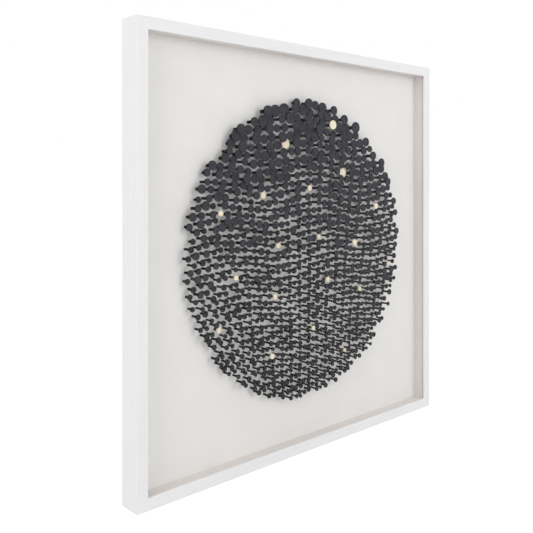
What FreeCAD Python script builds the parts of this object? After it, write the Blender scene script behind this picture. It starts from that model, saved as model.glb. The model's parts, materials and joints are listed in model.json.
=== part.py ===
import FreeCAD, Part
import math
import os

# Framed quilled paper art: a square shadow box with rows of rolled paper pins on a board.
# Millimetres. The front faces minus Y, up is plus Z. The origin is under the middle of the box.

# Moulding
FRAME_WIDTH = 800.0
FRAME_HEIGHT = 800.0
FRAME_DEPTH = 47.0
FACE_WIDTH = 21.0
LIP_COVER = 6.0
LIP_THICKNESS = 5.0
EDGE_EASE = 0.8

# What lies in the rabbet, from the front to the back
GLAZING_THICKNESS = 2.0
PIN_SPACE = 22.5
SPACER_THICKNESS = 5.0
BOARD_THICKNESS = 5.0
BACKING_THICKNESS = 3.0
EDGE_PLAY = 0.75

# Disc of quilled pins
DISC_SHARE = 0.786
ROW_PITCH = 14.1
PIN_PITCH = 20.2
FOOT_SPREAD = 0.78
TOP_SPREAD = 1.24
SPREAD_GROWTH = 1.6
SMALL_HEAD_SHARE = 0.66
LARGE_HEAD_SHARE = 1.06
HEAD_GROWTH = 2.2
HEAD_SPREAD = 0.22
FOOT_WANDER = 0.17
TOP_WANDER = 0.07
RIM_PULL = 0.13
ROW_WAVE = 6.5
WAVE_SPAN = 270.0
WAVE_SLANT_SHARE = 0.35
HEAD_THICKNESS = 2.4
HEAD_CLEARANCE = 1.5
LEVEL_GAP = 1.2
LENGTH_SPREAD = 0.45
STEM_CORE = 2.0
STEM_SHARE = 0.26
STEPPED_HEAD = 20.0
CONE_GAP = 0.3
BAND_COUNT = 8
CREAM_COUNT = 19
CREAM_REACH_SHARE = 0.9
CREAM_START = 0.6

# Fixings
POINT_WIDTH = 9.0
POINT_REACH = 11.0
POINT_BITE = 5.0
POINT_THICKNESS = 0.6
POINT_SHOULDER_SHARE = 0.6
POINT_TIP_SHARE = 0.4
POINTS_PER_RAIL = 4
NAIL_LEG = 5.0
NAIL_THICKNESS = 0.6
NAIL_HEIGHT = 12.0
NAIL_SHARES = (0.34, 0.72)
PLATE_WIDTH = 12.0
PLATE_LENGTH = 44.0
PLATE_THICKNESS = 1.2
PLATE_DROP = 70.0
ENTRY_RADIUS = 4.0
SLOT_WIDTH = 4.0
SLOT_RISE = 9.0
SCREW_SPAN = 34.0
SCREW_RADIUS = 1.4
SCREW_HEAD_RADIUS = 2.6
SCREW_LENGTH = 14.0
POCKET_PLAY = 1.0
POCKET_DEPTH = 6.0
CORNER_CUT = 0.22

Y_FRONT = -FRAME_DEPTH / 2
Y_BACK = FRAME_DEPTH / 2
Y_GLAZING = Y_FRONT + LIP_THICKNESS
Y_PINS = Y_GLAZING + GLAZING_THICKNESS
Y_BOARD = Y_PINS + PIN_SPACE
Y_BACKING = Y_BOARD + BOARD_THICKNESS
Y_POINTS = Y_BACKING + BACKING_THICKNESS
WALL = FACE_WIDTH - LIP_COVER
TALLEST_PIN = PIN_SPACE - HEAD_CLEARANCE
OPENING = min(FRAME_WIDTH, FRAME_HEIGHT) - 2 * FACE_WIDTH
DISC_RADIUS = DISC_SHARE * OPENING / 2
NEAREST_PINS = min(PIN_PITCH, math.hypot(PIN_PITCH / 2, ROW_PITCH))
LEVEL_STEP = HEAD_THICKNESS + LEVEL_GAP
GOLDEN_ANGLE = math.pi * (3 - math.sqrt(5))

SIDES = {
    "bottom": (FRAME_WIDTH, 0, (0, 0, 0)),
    "right": (FRAME_HEIGHT, -90, (FRAME_WIDTH / 2, 0, FRAME_HEIGHT / 2)),
    "top": (FRAME_WIDTH, 180, (0, 0, FRAME_HEIGHT)),
    "left": (FRAME_HEIGHT, 90, (-FRAME_WIDTH / 2, 0, FRAME_HEIGHT / 2)),
}


def vec(x, y, z):
    return FreeCAD.Vector(x, y, z)


def face(points):
    return Part.Face(Part.makePolygon(points + points[:1]))


def ring(x, y, z, radius, sides):
    turn = math.pi / sides
    angles = [turn + 2 * math.pi * i / sides for i in range(sides)]
    return [vec(x + radius * math.sin(a), y, z - radius * math.cos(a)) for a in angles]


def skin(rings):
    """A solid with flat faces through rings of points, from its first end to its last."""
    faces = [face(rings[0]), face(rings[-1])]
    for low, top in zip(rings, rings[1:]):
        for i in range(len(low)):
            faces.append(face([low[i - 1], low[i], top[i], top[i - 1]]))
    return Part.Solid(Part.Shell(faces))


def plate(outline, y, thickness):
    """A flat piece: an outline of x, z pairs at depth y, made thick towards the back."""
    return face([vec(x, y, z) for x, z in outline]).extrude(vec(0, thickness, 0))


def on_side(shape, side):
    """Carry a shape drawn for the bottom rail round to the named side."""
    turn, shift = SIDES[side][1:]
    moved = shape.copy()
    moved.rotate(vec(0, 0, 0), vec(0, 1, 0), turn)
    moved.translate(vec(*shift))
    return moved


def moulding(length):
    """Rabbeted moulding with both ends mitred, its outer edge on z = 0."""
    e = EDGE_EASE
    profile = [
        (0, Y_BACK),
        (0, Y_FRONT + e),
        (e, Y_FRONT),
        (FACE_WIDTH - e, Y_FRONT),
        (FACE_WIDTH, Y_FRONT + e),
        (FACE_WIDTH, Y_GLAZING),
        (WALL, Y_GLAZING),
        (WALL, Y_BACK),
    ]
    bar = face([vec(-length / 2, y, z) for z, y in profile]).extrude(vec(length, 0, 0))
    half = length / 2
    inner = half - FACE_WIDTH
    mitre = plate([(-half, 0), (half, 0), (inner, FACE_WIDTH), (-inner, FACE_WIDTH)], Y_FRONT, FRAME_DEPTH)
    return bar.common(mitre)


def points_on_rail(length):
    """Flat pointed tabs bitten into the rabbet wall, lying on the back panel."""
    made = []
    half = POINT_WIDTH / 2
    for i in range(POINTS_PER_RAIL):
        x = ((i + 0.5) / POINTS_PER_RAIL - 0.5) * (length - 2 * FACE_WIDTH)
        outline = [
            (x, WALL - POINT_BITE),
            (x + half, WALL),
            (x + half, WALL + POINT_REACH * POINT_SHOULDER_SHARE),
            (x + half * POINT_TIP_SHARE, WALL + POINT_REACH),
            (x - half * POINT_TIP_SHARE, WALL + POINT_REACH),
            (x - half, WALL + POINT_REACH * POINT_SHOULDER_SHARE),
            (x - half, WALL),
        ]
        made.append(plate(outline, Y_POINTS, POINT_THICKNESS))
    return made


def corner_nails():
    """Two bent steel wedges across each mitre, driven in from the back."""
    made = []
    for sx, sz in ((-1, -1), (1, -1), (1, 1), (-1, 1)):
        for share in NAIL_SHARES:
            run = WALL * share
            x0 = sx * (FRAME_WIDTH / 2 - run)
            z0 = FRAME_HEIGHT / 2 + sz * (FRAME_HEIGHT / 2 - run)
            outline = [
                (x0, z0),
                (x0 - sx * NAIL_LEG, z0),
                (x0 - sx * NAIL_LEG, z0 - sz * NAIL_THICKNESS),
                (x0 - sx * NAIL_THICKNESS, z0 - sz * NAIL_THICKNESS),
                (x0 - sx * NAIL_THICKNESS, z0 - sz * NAIL_LEG),
                (x0, z0 - sz * NAIL_LEG),
            ]
            made.append(plate(outline, Y_BACK - NAIL_HEIGHT, NAIL_HEIGHT))
    return made


def hanger_place(side):
    """Middle of the hanger plate on a side rail: x of the rail wall, z of the plate."""
    x = FRAME_WIDTH / 2 - WALL / 2
    if side == "left":
        x = -x
    return vec(x, 0, FRAME_HEIGHT - PLATE_DROP)


def hanger_screw(z):
    """Countersunk wood screw, its head flush with the plate. Small, so ten-sided."""
    y_neck = Y_BACK - PLATE_THICKNESS
    tip = ring(0, Y_BACK - SCREW_LENGTH, z, SCREW_RADIUS, 10)
    neck = ring(0, y_neck, z, SCREW_RADIUS, 10)
    rim = ring(0, Y_BACK, z, SCREW_HEAD_RADIUS, 10)
    return skin([tip, neck, rim])


def oblong(width, length, y, thickness):
    """An upright bar at x = 0, z = 0 with its corners cut off."""
    x = width / 2
    z = length / 2
    cut = width * CORNER_CUT
    outline = [
        (x - cut, -z),
        (x, cut - z),
        (x, z - cut),
        (x - cut, z),
        (cut - x, z),
        (-x, z - cut),
        (-x, cut - z),
        (cut - x, -z),
    ]
    return plate(outline, y, thickness)


def hanger_plate():
    """Let-in keyhole plate at x = 0, z = 0: the slot rises from the round entry."""
    y = Y_BACK - PLATE_THICKNESS
    blank = oblong(PLATE_WIDTH, PLATE_LENGTH, y, PLATE_THICKNESS)
    low = -SLOT_RISE / 2
    entry = Part.makeCylinder(ENTRY_RADIUS, PLATE_THICKNESS, vec(0, y, low), vec(0, 1, 0))
    rise = Part.makeBox(SLOT_WIDTH, PLATE_THICKNESS, SLOT_RISE, vec(-SLOT_WIDTH / 2, y, low))
    top = Part.makeCylinder(SLOT_WIDTH / 2, PLATE_THICKNESS, vec(0, y, -low), vec(0, 1, 0))
    holes = [hanger_screw(z) for z in (-SCREW_SPAN / 2, SCREW_SPAN / 2)]
    return blank.cut([entry, rise, top] + holes)


def hanger_pocket():
    """What the rail loses for one plate: its bed, the room for a screw head and two screw holes."""
    bed = oblong(PLATE_WIDTH, PLATE_LENGTH, Y_BACK - PLATE_THICKNESS, PLATE_THICKNESS)
    length = SLOT_RISE + 2 * ENTRY_RADIUS + POCKET_PLAY
    width = 2 * ENTRY_RADIUS + POCKET_PLAY
    room = oblong(width, length, Y_BACK - POCKET_DEPTH, POCKET_DEPTH)
    holes = [hanger_screw(z) for z in (-SCREW_SPAN / 2, SCREW_SPAN / 2)]
    return [bed, room] + holes


def moved_to(shape, place):
    moved = shape.copy()
    moved.translate(place)
    return moved


def rail(side, nails):
    """One mitred rail with the recesses that its points, wedges and hanger plate sit in."""
    length = SIDES[side][0]
    body = on_side(moulding(length).cut(points_on_rail(length)), side).cut(nails)
    if side in ("left", "right"):
        body = body.cut([moved_to(s, hanger_place(side)) for s in hanger_pocket()])
    return body


def sheet(y, thickness):
    """A flat sheet that drops into the rabbet with a little play at its edges."""
    x = FRAME_WIDTH / 2 - WALL - EDGE_PLAY
    low = WALL + EDGE_PLAY
    return Part.makeBox(2 * x, thickness, FRAME_HEIGHT - 2 * low, vec(-x, y, low))


def spacer(side):
    """Lining strip between glazing and board. The upright ones stand between the level ones."""
    length = SIDES[side][0] - 2 * WALL
    if side in ("left", "right"):
        length = length - 2 * SPACER_THICKNESS
    strip = Part.makeBox(length, PIN_SPACE, SPACER_THICKNESS, vec(-length / 2, Y_PINS, WALL))
    return on_side(strip, side)


def scatter(number, kind):
    """An uneven value from -1 to 1 for each pin, the same at every build."""
    return 2 * ((math.sin(12.9898 * number + 78.233 * kind) * 43758.5453) % 1.0) - 1


def rise_at(z):
    """0 at the foot of the disc, 1 at its top."""
    return min(max(0.5 + 0.5 * z / DISC_RADIUS, 0.0), 1.0)


def spread_at(z):
    """How far apart the pins stand at this height, against the middle of the disc."""
    return FOOT_SPREAD + (TOP_SPREAD - FOOT_SPREAD) * rise_at(z) ** SPREAD_GROWTH


def row_heights():
    """Heights of the rows from the foot up. They stand further apart as they rise."""
    heights = []
    z = -DISC_RADIUS + ROW_PITCH * FOOT_SPREAD / 2
    while z < DISC_RADIUS:
        heights.append(z)
        z = z + ROW_PITCH * spread_at(z)
    return heights


def wave_at(x, z):
    """How far a row lies above its own height at x: the rows run in slow waves."""
    return ROW_WAVE * math.sin(2 * math.pi * (x + WAVE_SLANT_SHARE * z) / WAVE_SPAN)


def pin_layout():
    """Places and sizes of the pins: x, z, head radius, stem radius, length, row and depth level.

    Neighbours on the three-way lattice never share a level, so wide heads can pass
    over and under each other.
    """
    pins = []
    columns = int(DISC_RADIUS / (PIN_PITCH * FOOT_SPREAD)) + 1
    number = 0
    for row, height in enumerate(row_heights()):
        spread = spread_at(height)
        rise = rise_at(height)
        wander = NEAREST_PINS * spread * (FOOT_WANDER + (TOP_WANDER - FOOT_WANDER) * rise)
        share = SMALL_HEAD_SHARE + (LARGE_HEAD_SHARE - SMALL_HEAD_SHARE) * rise**HEAD_GROWTH
        for column in range(-columns, columns + 1):
            number = number + 1
            x = (column + 0.5 * (row % 2)) * PIN_PITCH * spread + wander * scatter(number, 1)
            z = height + wave_at(x, height) + wander * scatter(number, 2)
            head = NEAREST_PINS * spread * share * (1 + HEAD_SPREAD * scatter(number, 3)) / 2
            reach = math.hypot(x, z)
            edge = DISC_RADIUS - head
            if reach > edge + RIM_PULL * PIN_PITCH * spread:
                continue
            if reach > edge:
                x = x * edge / reach
                z = z * edge / reach
            level = (column - row // 2 - row) % 3
            length = TALLEST_PIN - LEVEL_STEP * level - LENGTH_SPREAD * (1 + scatter(number, 4))
            stem = STEM_CORE / 2 + STEM_SHARE * head
            pins.append((x, z, head, stem, length, row, level))
    return pins


def peg(x, z, head, stem, length):
    """Small pin: a slim four-sided cone that widens from the board to its head."""
    return skin([ring(x, Y_BOARD, z, stem, 4), ring(x, Y_BOARD - length, z, head, 4)])


def head_disc(x, z, head, length):
    return face(ring(x, Y_BOARD - length, z, head, 6)).extrude(vec(0, HEAD_THICKNESS, 0))


def pin_stem(x, z, stem, length):
    drop = length - HEAD_THICKNESS
    return face(ring(x, Y_BOARD - drop, z, stem, 4)).extrude(vec(0, drop, 0))


def cream_pins(pins):
    """Numbers of the pins that get a cream head, spread by the golden angle."""
    chosen = set()
    for i in range(CREAM_COUNT):
        reach = DISC_RADIUS * CREAM_REACH_SHARE * math.sqrt((i + 0.5) / CREAM_COUNT)
        angle = i * GOLDEN_ANGLE + CREAM_START
        x = reach * math.cos(angle)
        z = reach * math.sin(angle)
        chosen.add(min(range(len(pins)), key=lambda n: math.hypot(pins[n][0] - x, pins[n][1] - z)))
    return chosen


def cone_clears(pin, other):
    """True if this pin, made as a cone, keeps off the head of a shorter neighbour."""
    side = pin[3] + (pin[2] - pin[3]) * other[4] / pin[4]
    half = side / math.sqrt(2)
    gap = math.hypot(max(abs(pin[0] - other[0]) - half, 0), max(abs(pin[1] - other[1]) - half, 0))
    return gap > other[2] + CONE_GAP


def stepped_pins(pins):
    """Numbers of the pins made as a disc on a slim stem: wide ones, and ones too near for a cone."""
    stepped = set()
    for number, pin in enumerate(pins):
        shorter = [other for other in pins if other[4] < pin[4]]
        if 2 * pin[2] >= STEPPED_HEAD or not all(cone_clears(pin, other) for other in shorter):
            stepped.add(number)
    return stepped


def quilling():
    """All pin solids by node: black pins in bands from the foot up, cream heads, their stems."""
    pins = pin_layout()
    cream = cream_pins(pins)
    stepped = stepped_pins(pins)
    rows = len(row_heights())
    nodes = {"black_pins_band_%d" % (b + 1): [] for b in range(BAND_COUNT)}
    nodes["cream_pin_heads"] = []
    nodes["cream_pin_stems"] = []
    for number, (x, z, head, stem, length, row, level) in enumerate(pins):
        black = nodes["black_pins_band_%d" % (row * BAND_COUNT // rows + 1)]
        if number in cream:
            nodes["cream_pin_heads"].append(head_disc(x, z, head, length))
            nodes["cream_pin_stems"].append(pin_stem(x, z, stem, length))
        elif number in stepped:
            black.append(head_disc(x, z, head, length).fuse(pin_stem(x, z, stem, length)).removeSplitter())
        elif level != 2:
            black.append(peg(x, z, head, stem, length))
    middle = vec(0, 0, FRAME_HEIGHT / 2)
    return {name: [moved_to(s, middle) for s in solids] for name, solids in nodes.items()}


def main():
    os.makedirs("parts", exist_ok=True)
    nails = corner_nails()
    nodes = {"corner_nails": nails, "glazing_points": []}
    for side in SIDES:
        nodes["frame_rail_" + side] = [rail(side, nails)]
        nodes["spacer_" + side] = [spacer(side)]
        nodes["glazing_points"] += [on_side(p, side) for p in points_on_rail(SIDES[side][0])]
    nodes["glazing_pane"] = [sheet(Y_GLAZING, GLAZING_THICKNESS)]
    nodes["mount_board"] = [sheet(Y_BOARD, BOARD_THICKNESS)]
    nodes["backing_panel"] = [sheet(Y_BACKING, BACKING_THICKNESS)]
    screws = []
    for side in ("left", "right"):
        nodes["hanger_plate_" + side] = [moved_to(hanger_plate(), hanger_place(side))]
        for z in (-SCREW_SPAN / 2, SCREW_SPAN / 2):
            screws.append(moved_to(hanger_screw(z), hanger_place(side)))
    nodes["hanger_screws"] = screws
    nodes.update(quilling())
    for name, solids in nodes.items():
        shape = solids[0] if len(solids) == 1 else Part.makeCompound(solids)
        shape.exportStep("parts/%s.step" % name)


main()
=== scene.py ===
import bmesh
import bpy
import json
import math
from mathutils import Matrix, Vector

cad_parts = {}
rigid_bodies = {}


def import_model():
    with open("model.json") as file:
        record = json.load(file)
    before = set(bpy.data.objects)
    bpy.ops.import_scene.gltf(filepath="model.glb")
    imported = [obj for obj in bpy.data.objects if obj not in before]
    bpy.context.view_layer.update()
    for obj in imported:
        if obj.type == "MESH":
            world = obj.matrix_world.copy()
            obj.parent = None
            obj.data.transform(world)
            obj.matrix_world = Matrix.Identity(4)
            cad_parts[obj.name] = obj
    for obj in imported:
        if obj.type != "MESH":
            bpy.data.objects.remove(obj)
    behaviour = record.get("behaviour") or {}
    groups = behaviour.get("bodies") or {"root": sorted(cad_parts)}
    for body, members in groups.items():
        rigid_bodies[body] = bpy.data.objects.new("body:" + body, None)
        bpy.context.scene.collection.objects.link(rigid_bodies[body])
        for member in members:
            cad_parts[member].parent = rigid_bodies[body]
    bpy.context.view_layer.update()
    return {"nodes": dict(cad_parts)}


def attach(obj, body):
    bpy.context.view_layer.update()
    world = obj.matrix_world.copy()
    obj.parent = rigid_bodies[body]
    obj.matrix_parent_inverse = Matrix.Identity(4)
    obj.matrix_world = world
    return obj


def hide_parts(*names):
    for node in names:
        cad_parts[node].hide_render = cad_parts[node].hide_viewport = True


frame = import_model()
nodes = frame["nodes"]

# Framed quilled paper art, dressed for the picture. Places and sizes in metres, as in the solids.
BOX = 0.800
FACE = 0.021
BOARD_FRONT = 0.006
PIN_SPACE = 0.0225
DISC_RADIUS = 0.786 * (BOX - 2 * FACE) / 2
ROW_PITCH = 0.0141
PIN_PITCH = 0.0202
NEAREST = min(PIN_PITCH, math.hypot(PIN_PITCH / 2, ROW_PITCH))
FOOT_SPREAD = 0.78
TOP_SPREAD = 1.24
SPREAD_GROWTH = 1.6
SMALL_HEAD_SHARE = 0.66
LARGE_HEAD_SHARE = 1.06
HEAD_GROWTH = 2.2
HEAD_SPREAD = 0.22
FOOT_WANDER = 0.17
TOP_WANDER = 0.07
RIM_PULL = 0.13
ROW_WAVE = 0.0065
WAVE_SPAN = 0.27
WAVE_SLANT_SHARE = 0.35
HEAD_THICKNESS = 0.0024
LEVEL_STEP = 0.0036
LENGTH_SPREAD = 0.00045
TALLEST = PIN_SPACE - 0.0015
MODEL_STEM = 0.4
MODEL_END = 0.01
RIM_SHARE = 0.16
DIP_SHARE = 0.06
DIP = 0.0006
NECK_SHARE = 0.92
WIDE_HEAD = 0.0062
WIDE_TURNS = 26
SMALL_TURNS = 14
BLACK_COILS = 160
CREAM_COILS = 13
STEM_CORE = 0.002
STEM_SHARE = 0.26
BANDS = 8
CREAM_COUNT = 19
CREAM_REACH_SHARE = 0.9
CREAM_START = 0.6
GOLDEN_ANGLE = math.pi * (3 - math.sqrt(5))
PLATE_THICKNESS = 0.0012
PLATE_DROP = 0.070
SCREW_SPAN = 0.034
SCREW_RADIUS = 0.0014
SCREW_HEAD_RADIUS = 0.0026
SCREW_LENGTH = 0.014
RAIL_WALL = 0.015
BACK = 0.0235
CROSS_SPAN = 0.0030
CROSS_WIDTH = 0.0006
CROSS_DEPTH = 0.0008
TIP_SHARE = 0.2

# Camera, fitted to the frame's corners
CAMERA_PLACE = (-0.9842, -0.9766, 0.5358)
CAMERA_PITCH = math.radians(90.13)
CAMERA_TURN = math.radians(-42.13)
CAMERA_LENS = 46.54
CAMERA_SHIFT = -0.166


def rgb(*c):
    """A colour written as it shows on screen, made linear."""
    return tuple(((v + 0.055) / 1.055) ** 2.4 if v > 0.04045 else v / 12.92 for v in c) + (1,)


class Paint:
    """A new material with its shader, and short ways to add and join nodes."""

    def __init__(self, name, roughness=0.6, specular=0.4):
        self.mat = bpy.data.materials.new(name)
        self.mat.use_nodes = True
        self.tree = self.mat.node_tree
        self.shader = self.tree.nodes["Principled BSDF"]
        self.shader.inputs["Roughness"].default_value = roughness
        self.shader.inputs["Specular IOR Level"].default_value = specular
        self.out = self.tree.nodes["Material Output"]

    def add(self, kind, **values):
        node = self.tree.nodes.new(kind)
        for name, value in values.items():
            setattr(node, name, value)
        return node

    def join(self, source, socket):
        self.tree.links.new(source, socket)

    def place(self, scale, source="Object"):
        where = self.add("ShaderNodeTexCoord")
        fit = self.add("ShaderNodeMapping")
        fit.inputs["Scale"].default_value = scale
        self.join(where.outputs[source], fit.inputs["Vector"])
        return fit.outputs[0]

    def noise(self, at, scale, detail=4.0, rough=0.55):
        node = self.add("ShaderNodeTexNoise")
        node.inputs["Scale"].default_value = scale
        node.inputs["Detail"].default_value = detail
        node.inputs["Roughness"].default_value = rough
        self.join(at, node.inputs["Vector"])
        return node.outputs["Fac"]

    def ramp(self, fac, *stops):
        node = self.add("ShaderNodeValToRGB")
        node.color_ramp.elements[0].position = stops[0][0]
        node.color_ramp.elements[0].color = stops[0][1]
        node.color_ramp.elements[1].position = stops[-1][0]
        node.color_ramp.elements[1].color = stops[-1][1]
        for at, colour in stops[1:-1]:
            node.color_ramp.elements.new(at).color = colour
        self.join(fac, node.inputs[0])
        return node.outputs[0]

    def calc(self, how, a, b=None):
        node = self.add("ShaderNodeMath", operation=how)
        for socket, value in zip(node.inputs, (a, b)):
            if value is None:
                continue
            if isinstance(value, (int, float)):
                socket.default_value = value
            else:
                self.join(value, socket)
        return node.outputs[0]

    def colour(self, source):
        self.join(source, self.shader.inputs["Base Color"])

    def rough(self, fac, low, high):
        node = self.add("ShaderNodeMapRange")
        node.inputs["To Min"].default_value = low
        node.inputs["To Max"].default_value = high
        self.join(fac, node.inputs[0])
        self.join(node.outputs[0], self.shader.inputs["Roughness"])

    def bump(self, height, distance, strength=0.6):
        node = self.add("ShaderNodeBump")
        node.inputs["Strength"].default_value = strength
        node.inputs["Distance"].default_value = distance
        self.join(height, node.inputs["Height"])
        self.join(node.outputs[0], self.shader.inputs["Normal"])


def painted_wood(name, upright):
    """White paint over pine: fine grain lines along the rail, a little uneven sheen."""
    p = Paint(name, 0.42, 0.45)
    along = (420, 420, 9) if upright else (9, 420, 420)
    grain = p.noise(p.place(along), 1.0, 5.0, 0.6)
    cloud = p.noise(p.place((1, 1, 1)), 9.0, 3.0)
    tone = p.calc("ADD", p.calc("MULTIPLY", grain, 0.75), p.calc("MULTIPLY", cloud, 0.25))
    p.colour(
        p.ramp(
            tone,
            (0.32, rgb(0.885, 0.883, 0.888)),
            (0.50, rgb(0.905, 0.902, 0.906)),
            (0.66, rgb(0.918, 0.914, 0.918)),
        )
    )
    p.rough(grain, 0.36, 0.55)
    p.bump(grain, 0.0004, 0.35)
    return p.mat


def mount_card(name, colour, shade, specular=0.25):
    """Matt card: short fibres and a slight cloudiness."""
    p = Paint(name, 0.88, specular)
    fibre = p.noise(p.place((1, 1, 1)), 900.0, 3.0, 0.7)
    cloud = p.noise(p.place((1, 1, 1)), 14.0, 4.0)
    tone = p.calc("ADD", p.calc("MULTIPLY", fibre, 0.4), p.calc("MULTIPLY", cloud, 0.6))
    p.colour(p.ramp(tone, (0.3, shade), (0.65, colour)))
    p.rough(fibre, 0.8, 0.95)
    p.bump(fibre, 0.00015, 0.4)
    return p.mat


def hardboard(name):
    """Brown pressed fibre with darker flecks."""
    p = Paint(name, 0.75, 0.3)
    fleck = p.noise(p.place((1, 1, 1)), 420.0, 6.0, 0.75)
    cloud = p.noise(p.place((1, 1, 1)), 11.0, 4.0)
    tone = p.calc("ADD", p.calc("MULTIPLY", fleck, 0.8), p.calc("MULTIPLY", cloud, 0.2))
    p.colour(
        p.ramp(
            tone,
            (0.30, rgb(0.44, 0.32, 0.22)),
            (0.50, rgb(0.55, 0.42, 0.30)),
            (0.68, rgb(0.62, 0.49, 0.36)),
        )
    )
    p.rough(fleck, 0.6, 0.85)
    p.bump(fleck, 0.0003, 0.4)
    return p.mat


def plated_steel(name, colour, low, high):
    """Thin plated steel: rolling lines and cloudy dull spots."""
    p = Paint(name, 0.35, 0.5)
    p.shader.inputs["Metallic"].default_value = 1.0
    spot = p.noise(p.place((1, 1, 1)), 160.0, 5.0, 0.6)
    lines = p.noise(p.place((60, 60, 900)), 1.0, 3.0)
    tone = p.calc("ADD", p.calc("MULTIPLY", spot, 0.6), p.calc("MULTIPLY", lines, 0.4))
    dull = tuple(0.62 * c for c in colour[:3]) + (1,)
    p.colour(p.ramp(tone, (0.3, dull), (0.65, colour)))
    p.rough(tone, low, high)
    p.bump(lines, 0.0001, 0.3)
    return p.mat


def clear_pane(name):
    """Clear glazing: what is behind shows through, with a weak reflection that grows at a slant."""
    p = Paint(name)
    p.tree.nodes.remove(p.shader)
    through = p.add("ShaderNodeBsdfTransparent")
    through.inputs[0].default_value = (0.985, 0.985, 0.985, 1)
    gloss = p.add("ShaderNodeBsdfGlossy")
    gloss.inputs["Color"].default_value = (1, 1, 1, 1)
    smear = p.noise(p.place((1, 1, 1)), 3.0, 2.0)
    span = p.add("ShaderNodeMapRange")
    span.inputs["To Min"].default_value = 0.02
    span.inputs["To Max"].default_value = 0.06
    p.join(smear, span.inputs[0])
    p.join(span.outputs[0], gloss.inputs["Roughness"])
    slant = p.add("ShaderNodeLayerWeight")
    grows = p.calc("MULTIPLY", p.calc("POWER", slant.outputs["Facing"], 5.0), 0.5)
    share = p.calc("ADD", grows, 0.008)
    mix = p.add("ShaderNodeMixShader")
    p.join(share, mix.inputs[0])
    p.join(through.outputs[0], mix.inputs[1])
    p.join(gloss.outputs[0], mix.inputs[2])
    p.join(mix.outputs[0], p.out.inputs["Surface"])
    return p.mat


def rolled_paper(name, face, groove, turns, specular):
    """Edge of a rolled paper strip: a spiral of thin turns read from the pin's own map."""
    p = Paint(name, 0.8, specular)
    where = p.add("ShaderNodeTexCoord")
    split = p.add("ShaderNodeSeparateXYZ")
    p.join(where.outputs["UV"], split.inputs[0])
    u = p.calc("SUBTRACT", split.outputs[0], 0.5)
    v = p.calc("SUBTRACT", split.outputs[1], 0.5)
    reach = p.calc("SQRT", p.calc("ADD", p.calc("MULTIPLY", u, u), p.calc("MULTIPLY", v, v)))
    angle = p.calc("DIVIDE", p.calc("ARCTAN2", u, v), 2 * math.pi)
    turn = p.calc("ADD", p.calc("MULTIPLY", reach, turns), angle)
    wave = p.calc("FRACT", turn)
    ridge = p.calc("ABSOLUTE", p.calc("SUBTRACT", p.calc("MULTIPLY", wave, 2.0), 1.0))
    fibre = p.noise(p.place((1, 1, 1)), 700.0, 3.0, 0.7)
    drift = p.noise(p.place((1, 1, 1)), 38.0, 2.0)
    tone = p.calc("ADD", p.calc("MULTIPLY", ridge, 0.5), p.calc("MULTIPLY", fibre, 0.25))
    tone = p.calc("ADD", tone, p.calc("MULTIPLY", drift, 0.25))
    p.colour(p.ramp(tone, (0.15, groove), (0.55, face)))
    p.rough(fibre, 0.75, 0.95)
    p.bump(ridge, 0.0003, 0.5)
    return p.mat


def scatter(number, kind):
    """An uneven value from -1 to 1 for each pin, the same at every run."""
    return 2 * ((math.sin(12.9898 * number + 78.233 * kind) * 43758.5453) % 1.0) - 1


def rise_at(z):
    """0 at the foot of the disc, 1 at its top."""
    return min(max(0.5 + 0.5 * z / DISC_RADIUS, 0.0), 1.0)


def spread_at(z):
    """How far apart the pins stand at this height."""
    return FOOT_SPREAD + (TOP_SPREAD - FOOT_SPREAD) * rise_at(z) ** SPREAD_GROWTH


def row_heights():
    """Heights of the rows from the foot up."""
    heights = []
    z = -DISC_RADIUS + ROW_PITCH * FOOT_SPREAD / 2
    while z < DISC_RADIUS:
        heights.append(z)
        z = z + ROW_PITCH * spread_at(z)
    return heights


def wave_at(x, z):
    """How far a row lies above its own height at x."""
    return ROW_WAVE * math.sin(2 * math.pi * (x + WAVE_SLANT_SHARE * z) / WAVE_SPAN)


def pin_layout():
    """The solids' rows, places and sizes: x, z, head radius, stem radius, length and row."""
    pins = []
    columns = int(DISC_RADIUS / (PIN_PITCH * FOOT_SPREAD)) + 1
    number = 0
    for row, height in enumerate(row_heights()):
        spread = spread_at(height)
        rise = rise_at(height)
        wander = NEAREST * spread * (FOOT_WANDER + (TOP_WANDER - FOOT_WANDER) * rise)
        share = SMALL_HEAD_SHARE + (LARGE_HEAD_SHARE - SMALL_HEAD_SHARE) * rise**HEAD_GROWTH
        for column in range(-columns, columns + 1):
            number = number + 1
            x = (column + 0.5 * (row % 2)) * PIN_PITCH * spread + wander * scatter(number, 1)
            z = height + wave_at(x, height) + wander * scatter(number, 2)
            head = NEAREST * spread * share * (1 + HEAD_SPREAD * scatter(number, 3)) / 2
            reach = math.hypot(x, z)
            edge = DISC_RADIUS - head
            if reach > edge + RIM_PULL * PIN_PITCH * spread:
                continue
            if reach > edge:
                x = x * edge / reach
                z = z * edge / reach
            level = (column - row // 2 - row) % 3
            length = TALLEST - LEVEL_STEP * level - LENGTH_SPREAD * (1 + scatter(number, 4))
            stem = STEM_CORE / 2 + STEM_SHARE * head
            pins.append((x, z, head, stem, length, row))
    return pins


def cream_places(pins):
    """Numbers of the pins with a cream head, spread by the golden angle."""
    chosen = set()
    for i in range(CREAM_COUNT):
        reach = DISC_RADIUS * CREAM_REACH_SHARE * math.sqrt((i + 0.5) / CREAM_COUNT)
        angle = i * GOLDEN_ANGLE + CREAM_START
        x = reach * math.cos(angle)
        z = reach * math.sin(angle)
        chosen.add(min(range(len(pins)), key=lambda n: math.hypot(pins[n][0] - x, pins[n][1] - z)))
    return chosen


def clear_choice():
    """Back to object mode with nothing selected."""
    if bpy.context.object and bpy.context.object.mode != "OBJECT":
        bpy.ops.object.mode_set(mode="OBJECT")
    bpy.ops.object.select_all(action="DESELECT")


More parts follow.
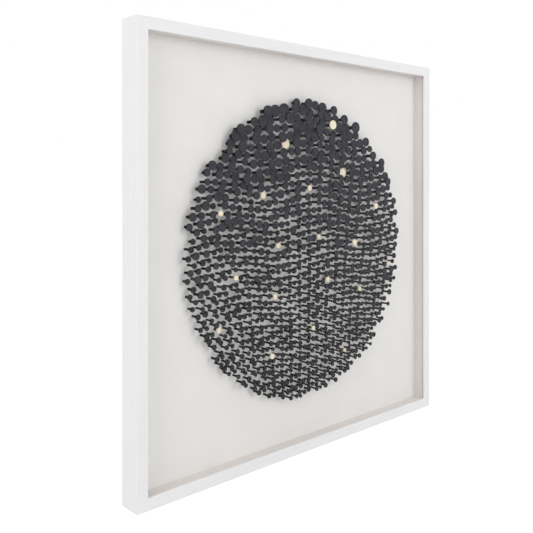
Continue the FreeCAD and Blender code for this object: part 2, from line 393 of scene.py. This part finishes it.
def edit(piece):
    """Open one piece in edit mode with nothing chosen on it."""
    clear_choice()
    piece.select_set(True)
    bpy.context.view_layer.objects.active = piece
    bpy.ops.object.mode_set(mode="EDIT")
    bpy.ops.mesh.select_mode(type="FACE")
    bpy.ops.mesh.select_all(action="DESELECT")


def choose_faces(piece, test):
    """Choose the faces of the open piece that pass the test."""
    mesh = bmesh.from_edit_mesh(piece.data)
    mesh.select_mode = {"FACE"}
    for f in mesh.faces:
        f.select_set(test(f))
    mesh.select_flush_mode()
    bmesh.update_edit_mesh(piece.data)


def close(piece, angle=30):
    """Leave edit mode, set the piece's place into its mesh and smooth its round parts."""
    clear_choice()
    piece.select_set(True)
    bpy.context.view_layer.objects.active = piece
    bpy.ops.object.transform_apply(location=True, rotation=True, scale=True)
    bpy.ops.object.shade_smooth_by_angle(angle=math.radians(angle))


def round_bar(sides, radius, low, high):
    """A cylinder along the depth, from low to high."""
    clear_choice()
    bpy.ops.mesh.primitive_cylinder_add(
        vertices=sides,
        radius=radius,
        depth=high - low,
        location=(0, (low + high) / 2, 0),
        rotation=(math.pi / 2, 0, 0),
    )
    bar = bpy.context.object
    bpy.ops.object.transform_apply(location=True, rotation=True, scale=True)
    return bar


def model_head(sides, with_stem):
    """A rolled head of radius 1 whose face is at y = 0, dished inside its rim, with its stem."""
    head = round_bar(sides, 1.0, 0.0, HEAD_THICKNESS)
    edit(head)
    choose_faces(head, lambda f: f.normal.y < -0.9)
    bpy.ops.mesh.inset(thickness=RIM_SHARE, depth=0)
    bpy.ops.mesh.inset(thickness=DIP_SHARE, depth=-DIP)
    if with_stem:
        choose_faces(head, lambda f: f.normal.y > 0.9)
        bpy.ops.mesh.inset(thickness=1 - MODEL_STEM, depth=0)
        bpy.ops.mesh.extrude_region_move(TRANSFORM_OT_translate={"value": (0, MODEL_END, 0)})
    bpy.ops.object.mode_set(mode="OBJECT")
    return head


def model_stem(sides):
    """A rolled stem alone, drawn in a little where it meets its head."""
    stem = round_bar(sides, MODEL_STEM, HEAD_THICKNESS, MODEL_END)
    edit(stem)
    choose_faces(stem, lambda f: f.normal.y < -0.9)
    bpy.ops.transform.resize(value=(NECK_SHARE, 1, NECK_SHARE), center_override=(0, HEAD_THICKNESS, 0))
    bpy.ops.object.mode_set(mode="OBJECT")
    return stem


def map_turns(piece, turns):
    """Flat map of the head seen from the front: the more turns, the wider the map."""
    layer = piece.data.uv_layers[0] if piece.data.uv_layers else piece.data.uv_layers.new()
    for loop in piece.data.loops:
        co = piece.data.vertices[loop.vertex_index].co
        layer.data[loop.index].uv = (0.5 + co.x * turns / 100, 0.5 + co.z * turns / 100)


def paint_pin(piece, face, edge):
    """The dished face shows the roll's turns. Rim, back and stem show the strip's flat side, in the
    edge finish; on black pins that finish is a much darker black, painted shade.
    """
    piece.data.materials.clear()
    piece.data.materials.append(face)
    piece.data.materials.append(edge)
    for f in piece.data.polygons:
        f.material_index = 0 if f.normal.y < -0.5 else 1


def set_pin(model, name, x, z, head, stem, length):
    """One pin from its model: head and stem widened, the stem run back to the board."""
    pin = bpy.data.objects.new(name, model.data.copy())
    bpy.context.collection.objects.link(pin)
    front = BOARD_FRONT - length
    for v in pin.data.vertices:
        on_stem = v.co.y > HEAD_THICKNESS - 1e-5 and math.hypot(v.co.x, v.co.z) < 0.6
        width = stem / MODEL_STEM if on_stem else head
        y = BOARD_FRONT if v.co.y > HEAD_THICKNESS + 1e-5 else front + v.co.y
        v.co = Vector((x + v.co.x * width, y, BOX / 2 + z + v.co.z * width))
    return pin


def cut_away(piece, width, depth, height):
    """Cut a box round the origin out of the piece and throw the box away."""
    clear_choice()
    bpy.ops.mesh.primitive_cube_add(size=1)
    box = bpy.context.object
    box.scale = (width, depth, height)
    bpy.ops.object.transform_apply(location=True, rotation=True, scale=True)
    clear_choice()
    piece.select_set(True)
    bpy.context.view_layer.objects.active = piece
    bpy.ops.object.modifier_add(type="BOOLEAN")
    piece.modifiers[-1].operation = "DIFFERENCE"
    piece.modifiers[-1].object = box
    bpy.ops.object.modifier_apply(modifier=piece.modifiers[-1].name)
    bpy.data.objects.remove(box)


def model_screw():
    """Countersunk screw with a cross recess: the top of its head is at y = 0, its tip to the front."""
    clear_choice()
    bpy.ops.mesh.primitive_cone_add(
        vertices=20,
        radius1=SCREW_RADIUS,
        radius2=SCREW_HEAD_RADIUS,
        depth=PLATE_THICKNESS,
        location=(0, -PLATE_THICKNESS / 2, 0),
        rotation=(-math.pi / 2, 0, 0),
    )
    screw = bpy.context.object
    bpy.ops.object.transform_apply(location=True, rotation=True, scale=True)
    edit(screw)
    choose_faces(screw, lambda f: f.normal.y < -0.9)
    drop = PLATE_THICKNESS - SCREW_LENGTH
    bpy.ops.mesh.extrude_region_move(TRANSFORM_OT_translate={"value": (0, 0.8 * drop, 0)})
    bpy.ops.mesh.extrude_region_move(TRANSFORM_OT_translate={"value": (0, 0.2 * drop, 0)})
    bpy.ops.transform.resize(value=(TIP_SHARE, 1, TIP_SHARE), center_override=(0, -SCREW_LENGTH, 0))
    bpy.ops.object.mode_set(mode="OBJECT")
    cut_away(screw, CROSS_SPAN, 2 * CROSS_DEPTH, CROSS_WIDTH)
    cut_away(screw, CROSS_WIDTH, 2 * CROSS_DEPTH, CROSS_SPAN)
    return screw


def join_up(parts, name, slot, *stands_for):
    """Join the parts to one piece and hide the nodes it stands for; the slot argument is not used."""
    clear_choice()
    for part in parts:
        part.select_set(True)
    bpy.context.view_layer.objects.active = parts[0]
    bpy.ops.object.join()
    piece = bpy.context.object
    piece.name = name
    piece.data.name = name
    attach(piece, "root")
    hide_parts(*stands_for)
    return piece


def paint_node(name, mat):
    """Give a solid's node its finish."""
    nodes[name].data.materials.clear()
    nodes[name].data.materials.append(mat)


# Finishes
level_paint = painted_wood("white_paint_level", False)
upright_paint = painted_wood("white_paint_upright", True)
lining = mount_card("white_lining", rgb(0.91, 0.885, 0.872), rgb(0.89, 0.865, 0.852))
card = mount_card("pale_mount_card", rgb(0.935, 0.93, 0.92), rgb(0.915, 0.91, 0.90))
fibreboard = hardboard("brown_hardboard")
steel = plated_steel("bright_steel", rgb(0.62, 0.63, 0.64), 0.3, 0.5)
zinc = plated_steel("zinc_plate", rgb(0.74, 0.74, 0.72), 0.28, 0.48)
pane = clear_pane("clear_glazing")
dark_grey = rgb(0.25, 0.25, 0.278)
dark_groove = rgb(0.13, 0.13, 0.15)
# The small heads, which fill the lower field, take a darker copy of the black paper than the large
# ones.
near_black = rgb(0.185, 0.182, 0.20)
near_black_groove = rgb(0.09, 0.09, 0.10)
black_turns = rolled_paper("black_paper_turns", dark_grey, dark_groove, BLACK_COILS, 0.12)
darker_small_turns = rolled_paper("black_paper_darker_small_turns", near_black, near_black_groove, BLACK_COILS, 0.12)
# Painted shade: stems, rims and backs of the black pins take a much darker black than the heads,
# standing in for the shade they lie in.
shaded_black_strip = mount_card("black_paper_strip_painted_shade", rgb(0.07, 0.064, 0.07), rgb(0.04, 0.036, 0.04), 0.06)
cream_white = rgb(1.0, 0.965, 0.885)
cream_groove = rgb(0.84, 0.72, 0.55)
cream_turns = rolled_paper("cream_paper_turns", cream_white, cream_groove, CREAM_COILS, 0.3)
cream_strip = mount_card("cream_paper_strip", rgb(1.0, 0.96, 0.86), rgb(0.95, 0.89, 0.76))

for side in ("top", "bottom"):
    paint_node("frame_rail_" + side, level_paint)
    paint_node("spacer_" + side, lining)
for side in ("left", "right"):
    paint_node("frame_rail_" + side, upright_paint)
    paint_node("spacer_" + side, lining)
    paint_node("hanger_plate_" + side, zinc)
paint_node("mount_board", card)
paint_node("backing_panel", fibreboard)
paint_node("glazing_pane", pane)
paint_node("glazing_points", steel)
paint_node("corner_nails", steel)

# Pins
large = model_head(14, True)
small = model_head(9, True)
map_turns(large, WIDE_TURNS)
map_turns(small, SMALL_TURNS)
# Black pins: rolled turns on the face, the painted-shade black on rim, back and stem.
paint_pin(large, black_turns, shaded_black_strip)
paint_pin(small, darker_small_turns, shaded_black_strip)
cream_large = model_head(16, False)
cream_small = model_head(12, False)
map_turns(cream_large, WIDE_TURNS)
map_turns(cream_small, SMALL_TURNS)
paint_pin(cream_large, cream_turns, cream_strip)
paint_pin(cream_small, cream_turns, cream_strip)
# The stems take the painted-shade black all over.
stem_model = model_stem(10)
map_turns(stem_model, SMALL_TURNS)
paint_pin(stem_model, shaded_black_strip, shaded_black_strip)

pins = pin_layout()
cream = cream_places(pins)
rows = len(row_heights())
bands = [[] for b in range(BANDS)]
cream_heads = []
cream_stems = []
for number, (x, z, head, stem, length, row) in enumerate(pins):
    wide = head > WIDE_HEAD
    if number in cream:
        model = cream_large if wide else cream_small
        cream_heads.append(set_pin(model, "cream_head", x, z, head, stem, length))
        cream_stems.append(set_pin(stem_model, "cream_stem", x, z, head, stem, length))
        continue
    made = bands[row * BANDS // rows]
    made.append(set_pin(large if wide else small, "black_pin", x, z, head, stem, length))
for b, made in enumerate(bands):
    band_name = "black_pins_band_%d" % (b + 1)
    join_up(made, "rolled_" + band_name, "black_paper", band_name)
join_up(cream_heads, "rolled_cream_heads", "cream_paper", "cream_pin_heads")
join_up(cream_stems, "rolled_cream_stems", "black_paper", "cream_pin_stems")
for model in (large, small, cream_large, cream_small, stem_model):
    bpy.data.objects.remove(model)
for piece in [o for o in bpy.data.objects if o.name.startswith("rolled_")]:
    close(piece, 40)

# Hanger screws
screw_model = model_screw()
screws = []
for side in (-1, 1):
    for end in (-1, 1):
        screw = bpy.data.objects.new("cross_screw", screw_model.data.copy())
        bpy.context.collection.objects.link(screw)
        place = (side * (BOX - RAIL_WALL) / 2, BACK, BOX - PLATE_DROP + end * SCREW_SPAN / 2)
        screw.data.transform(Matrix.Rotation(0.5 * side + 0.9 * end, 4, "Y"))
        screw.data.transform(Matrix.Translation(place))
        screw.data.materials.append(zinc)
        screws.append(screw)
close(join_up(screws, "cross_screws", "zinc", "hanger_screws"), 30)
bpy.data.objects.remove(screw_model)


def seen_directly(tree):
    """1 for rays from the camera and for rays that glass and metal send on, otherwise 0."""
    ray = tree.nodes.new("ShaderNodeLightPath")
    sent_on = tree.nodes.new("ShaderNodeMath")
    sent_on.operation = "MAXIMUM"
    tree.links.new(ray.outputs["Is Glossy Ray"], sent_on.inputs[0])
    tree.links.new(ray.outputs["Is Transmission Ray"], sent_on.inputs[1])
    seen = tree.nodes.new("ShaderNodeMath")
    seen.operation = "MAXIMUM"
    tree.links.new(ray.outputs["Is Camera Ray"], seen.inputs[0])
    tree.links.new(sent_on.outputs[0], seen.inputs[1])
    return seen.outputs[0]


# Floor, lamps and camera
clear_choice()
bpy.ops.mesh.primitive_plane_add(size=60, location=(0, 0, 0))
floor = bpy.context.object
floor.name = "floor"
p = Paint("white_floor")
p.tree.nodes.remove(p.shader)
matt = p.add("ShaderNodeBsdfDiffuse")
matt.inputs[0].default_value = (0.8, 0.8, 0.8, 1)
shown = p.add("ShaderNodeEmission")
shown.inputs["Strength"].default_value = 0.6
both = p.add("ShaderNodeAddShader")
p.join(matt.outputs[0], both.inputs[0])
p.join(shown.outputs[0], both.inputs[1])
pick = p.add("ShaderNodeMixShader")
p.join(seen_directly(p.tree), pick.inputs[0])
p.join(matt.outputs[0], pick.inputs[1])
p.join(both.outputs[0], pick.inputs[2])
p.join(pick.outputs[0], p.out.inputs["Surface"])
floor.data.materials.append(p.mat)

world = bpy.data.worlds.new("studio")
bpy.context.scene.world = world
world.use_nodes = True
tree = world.node_tree
sky = tree.nodes["Background"]
sky.inputs["Color"].default_value = (1, 1, 1, 1)
sky.inputs["Strength"].default_value = 0.735
seen = tree.nodes.new("ShaderNodeBackground")
seen.inputs["Color"].default_value = (1, 1, 1, 1)
seen.inputs["Strength"].default_value = 1.0
pick = tree.nodes.new("ShaderNodeMixShader")
tree.links.new(seen_directly(tree), pick.inputs[0])
tree.links.new(sky.outputs[0], pick.inputs[1])
tree.links.new(seen.outputs[0], pick.inputs[2])
tree.links.new(pick.outputs[0], tree.nodes["World Output"].inputs["Surface"])


def lamp(name, place, aim, size, power):
    clear_choice()
    bpy.ops.object.light_add(type="AREA", location=place)
    light = bpy.context.object
    light.name = name
    light.data.size = size
    light.data.energy = power
    light.visible_glossy = False
    light.rotation_euler = (Vector(aim) - Vector(place)).to_track_quat("-Z", "Y").to_euler()


lamp("key_lamp", (0.7, -2.8, 1.3), (0, 0, 0.4), 1.5, 23.5)
lamp("left_fill", (-2.5, -0.6, 1.4), (0, 0, 0.5), 1.6, 21)

clear_choice()
bpy.ops.object.camera_add(location=CAMERA_PLACE, rotation=(CAMERA_PITCH, 0, CAMERA_TURN))
camera = bpy.context.object
camera.data.lens = CAMERA_LENS
camera.data.sensor_width = 36
camera.data.shift_y = CAMERA_SHIFT
camera.data.clip_start = 0.05
camera.data.clip_end = 100
bpy.context.scene.camera = camera
bpy.context.scene.view_settings.view_transform = "Standard"
